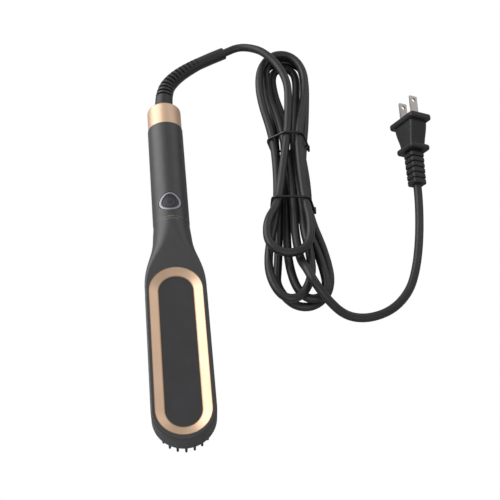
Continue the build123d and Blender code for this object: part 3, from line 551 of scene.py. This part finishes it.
def cord_route():
    """Points of the cord's middle line, in metres from the tail's wall to the plug."""
    plug = Vector(from_tail([PLUG_POINT])[0])
    back = plug - heading(PLUG_YAW, PLUG_PITCH) * PLUG_RUN
    points = from_tail(BOOT_POINTS + LEAD_POINTS) + hank_points() + from_tail(TAIL_POINTS)
    return [Vector(point) * MM for point in points + [back, plug]]


# Splines: order, steps between two points and rounding of the cord's section
CURVE_ORDER = 3
CURVE_STEPS = 10
CORD_ROUNDING = 5


def nurbs(name, points, radius, material=None):
    """Round bar along one open spline that starts and ends on its end points."""
    data = bpy.data.curves.new(name, "CURVE")
    data.dimensions = "3D"
    data.resolution_u = CURVE_STEPS
    spline = data.splines.new("NURBS")
    spline.points.add(len(points) - 1)
    for point, place in zip(spline.points, points):
        point.co = (*place, 1.0)
    spline.order_u = CURVE_ORDER
    spline.use_endpoint_u = True
    data.bevel_depth = radius
    data.bevel_resolution = CORD_ROUNDING
    data.use_fill_caps = True
    if material:
        data.materials.append(material)
    return show(name, data)


def spline_points(points):
    """Points read from a spline with no bevel."""
    curve = nurbs("line_reader", points, 0.0)
    mesh = bpy.data.meshes.new_from_object(curve)
    line = [v.co.copy() for v in mesh.vertices]
    bpy.data.meshes.remove(mesh)
    data = curve.data
    bpy.data.objects.remove(curve)
    bpy.data.curves.remove(data)
    return line


class Line:
    """Points along a line with the distance of each from its start."""

    STEP = 0.8 * MM

    def __init__(self, points):
        self.points = points
        self.marks = [0.0]
        for near, far in zip(points, points[1:]):
            self.marks.append(self.marks[-1] + (far - near).length)

    def place(self, distance):
        index = 1
        while index < len(self.marks) - 1 and self.marks[index] < distance:
            index += 1
        near, far = self.marks[index - 1], self.marks[index]
        share = (distance - near) / (far - near)
        return self.points[index - 1].lerp(self.points[index], share)

    def frame(self, distance):
        """Place, right side and upper side of the line at a distance."""
        behind = max(distance - self.STEP, 0.0)
        ahead = (self.place(distance + self.STEP) - self.place(behind)).normalized()
        right = ahead.cross(Vector((0, 0, 1))).normalized()
        return self.place(distance), right, right.cross(ahead)

    def nearest(self, point):
        """Distance along the line of its point that is nearest to a place."""
        return min(zip(self.points, self.marks), key=lambda pair: (pair[0] - point).length)[1]


# Boot: radii of its neck, of the taper's start and end and of its core under the slits, then its
# lengths and the edge at its sleeve's end
BOOT_NECK_R = 6.85
BOOT_SHOULDER_R = 6.5
BOOT_SLEEVE_R = 4.6
BOOT_CORE_R = 3.5
BOOT_NECK = 15.0
BOOT_NECK_WAIST = 0.15
BOOT_SLEEVE = 22.0
BOOT_ROUND = 0.6
BOOT_CORD_GAP = 0.1
BOOT_SIDES = 72
BOOT_SHARP = 35.0

# Slits: the upper ones sit to the left of the top near the neck, and all get narrower along the
# boot. Pairs give the value at the slitted length's start and end.
SLITS = 13
SLIT_WIDTH = 1.5
SLIT_WALL = 0.03
SLIT_UNDER = 180.0
SLIT_LEAN = (-22.0, -6.0)
SLIT_HALF = (78.0, 44.0)
SLIT_RUN_OUT = 5.0


def between(ends, share):
    return ends[0] + (ends[1] - ends[0]) * share


def slit_depth(angle, share):
    """How far a slit is cut at an angle from the upper side, 0 to 1, at a share of the slitted length."""
    depth = 0.0
    for centre in (between(SLIT_LEAN, share), SLIT_UNDER):
        away = abs((angle - centre + 180.0) % 360.0 - 180.0)
        depth = max(depth, (between(SLIT_HALF, share) - away) / SLIT_RUN_OUT)
    return min(depth, 1.0)


def boot_rings(length):
    """Distance, outer radius, share of the slitted length and whether it is cut, for every ring."""
    slitted = length - BOOT_NECK - BOOT_SLEEVE
    pitch = slitted / SLITS
    rings = [(0.0, BOOT_NECK_R, 0.0, False), (BOOT_NECK / 2, BOOT_NECK_R - BOOT_NECK_WAIST, 0.0, False)]
    for index in range(SLITS):
        start = BOOT_NECK + (pitch - SLIT_WIDTH) / 2 + pitch * index
        end = start + SLIT_WIDTH
        share = (start - BOOT_NECK) / slitted
        for place, cut in (
            (start - SLIT_WALL, False),
            (start + SLIT_WALL, True),
            (end - SLIT_WALL, True),
            (end + SLIT_WALL, False),
        ):
            radius = between((BOOT_SHOULDER_R, BOOT_SLEEVE_R), (place - BOOT_NECK) / slitted)
            rings.append((place, radius, share, cut))
    for place, radius in (
        (length - BOOT_SLEEVE, BOOT_SLEEVE_R),
        (length - BOOT_SLEEVE / 2, BOOT_SLEEVE_R),
        (length - BOOT_ROUND, BOOT_SLEEVE_R),
        (length - BOOT_ROUND / 4, BOOT_SLEEVE_R - BOOT_ROUND / 3),
        (length, BOOT_SLEEVE_R - BOOT_ROUND),
        (length, CORD_D / 2 + BOOT_CORD_GAP),
        (length - 1.0, CORD_D / 2 - BOOT_CORD_GAP),
    ):
        rings.append((place, radius, 1.0, False))
    return rings


def boot_mesh(line, material):
    """Smooth taper with slits cut across its upper and lower side."""
    length = line.nearest(Vector(from_tail(LEAD_POINTS)[0]) * MM) / MM
    mesh = bmesh.new()
    loops = []
    for distance, radius, share, cut in boot_rings(length):
        centre, right, above = line.frame(distance * MM)
        loop = []
        for step in range(BOOT_SIDES):
            angle = 360.0 * step / BOOT_SIDES
            depth = slit_depth(angle, share) if cut else 0.0
            reach = between((radius, BOOT_CORE_R), depth) * MM
            turn = math.radians(angle)
            side = right * math.sin(turn) + above * math.cos(turn)
            loop.append(mesh.verts.new(centre + side * reach))
        loops.append(loop)
    for near, far in zip(loops, loops[1:]):
        for step in range(BOOT_SIDES):
            after = (step + 1) % BOOT_SIDES
            mesh.faces.new((near[step], near[after], far[after], far[step]))
    mesh.faces.new(loops[0][::-1])
    mesh.faces.new(loops[-1])
    bmesh.ops.recalc_face_normals(mesh, faces=mesh.faces)
    data = bpy.data.meshes.new("boot_relief")
    mesh.to_mesh(data)
    mesh.free()
    data.shade_smooth()
    data.set_sharp_from_angle(angle=math.radians(BOOT_SHARP))
    data.materials.append(material)
    return data


def make_cord(materials):
    """The cord from the tail to the plug, and the boot round its start."""
    route = cord_route()
    cord = nurbs("mains_cord", route, CORD_D / 2 * MM, materials["cord"])
    line = Line(spline_points(route))
    boot = show("boot_relief", boot_mesh(line, materials["boot"]))
    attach(boot, "cord_set")
    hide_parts("strain_relief_boot")
    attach(cord, "cord_set")
    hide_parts("cord_lead", "cord_hank", "cord_tail")
    print("cord length", round(line.marks[-1], 4))


# Floor: a pale sheet just below the part that the camera sees as white, and not from below
FLOOR_HALF = 6.0
FLOOR_DROP = 0.2 * MM
FLOOR_TONE = 0.8


def make_floor():
    """Sheet that takes the part's shadow."""
    mesh = bpy.data.meshes.new("floor")
    corners = [(-1, -1), (1, -1), (1, 1), (-1, 1)]
    mesh.from_pydata([(x * FLOOR_HALF, y * FLOOR_HALF, 0) for x, y in corners], [], [(0, 1, 2, 3)])
    floor = show("floor", mesh)
    floor.location.z = -FLOOR_DROP
    paper = bpy.data.materials.new("floor_paper")
    paper.use_nodes = True
    tree = paper.node_tree
    tree.nodes.clear()
    output = tree.nodes.new("ShaderNodeOutputMaterial")
    diffuse = tree.nodes.new("ShaderNodeBsdfDiffuse")
    diffuse.inputs["Color"].default_value = (FLOOR_TONE, FLOOR_TONE, FLOOR_TONE, 1)
    glow = tree.nodes.new("ShaderNodeEmission")
    glow.inputs["Color"].default_value = (1, 1, 1, 1)
    glow.inputs["Strength"].default_value = 1.0
    clear = tree.nodes.new("ShaderNodeBsdfTransparent")

    def choose(share, first, second):
        mix = tree.nodes.new("ShaderNodeMixShader")
        tree.links.new(share, mix.inputs["Fac"])
        tree.links.new(first, mix.inputs[1])
        tree.links.new(second, mix.inputs[2])
        return mix.outputs[0]

    seen = tree.nodes.new("ShaderNodeLightPath").outputs["Is Camera Ray"]
    below = tree.nodes.new("ShaderNodeNewGeometry").outputs["Backfacing"]
    upper = choose(seen, diffuse.outputs[0], glow.outputs[0])
    tree.links.new(choose(below, upper, clear.outputs[0]), output.inputs["Surface"])
    mesh.materials.append(paper)


# World: its strength as light and as what glossy surfaces show. The camera sees it as white.
WORLD_LIGHT = 0.2
WORLD_SHEEN = 0.52

# Soft lamps: place, aim, size and power
LAMPS = {
    "key_left": ((-1.0, 0.74, 0.58), (0.02, 0.03, 0.0), (1.5, 1.5), 15.5),
    "fill_right": ((0.9, 0.85, 0.75), (0.05, 0.03, 0.0), (0.9, 0.9), 1.35),
    "front_soft": ((-0.1, -1.0, 1.0), (0.05, 0.0, 0.0), (1.2, 0.6), 3.0),
}


def area_light(name, place, aim, size, power):
    data = bpy.data.lights.new(name, "AREA")
    data.shape = "RECTANGLE"
    data.size, data.size_y = size
    data.energy = power
    lamp = show(name, data)
    lamp.location = place
    lamp.rotation_euler = (Vector(aim) - Vector(place)).to_track_quat("-Z", "Y").to_euler()


def make_world():
    """Even pale light from all round."""
    world = bpy.data.worlds.new("studio")
    bpy.context.scene.world = world
    world.use_nodes = True
    tree = world.node_tree
    back = next(n for n in tree.nodes if n.type == "BACKGROUND")
    back.inputs["Color"].default_value = (1, 1, 1, 1)
    path = tree.nodes.new("ShaderNodeLightPath")
    level = tree.nodes.new("ShaderNodeMapRange")
    level.inputs["To Min"].default_value = WORLD_LIGHT
    level.inputs["To Max"].default_value = WORLD_SHEEN
    tree.links.new(path.outputs["Is Glossy Ray"], level.inputs["Value"])
    strength = tree.nodes.new("ShaderNodeMath")
    strength.operation = "MAXIMUM"
    tree.links.new(path.outputs["Is Camera Ray"], strength.inputs[0])
    tree.links.new(level.outputs["Result"], strength.inputs[1])
    tree.links.new(strength.outputs[0], back.inputs["Strength"])


materials = make_materials()
make_camera()
dress_nodes(materials)
make_cord(materials)
make_floor()
make_world()
for lamp_name, settings in LAMPS.items():
    area_light(lamp_name, *settings)

scene = bpy.context.scene
scene.view_settings.view_transform = "Standard"
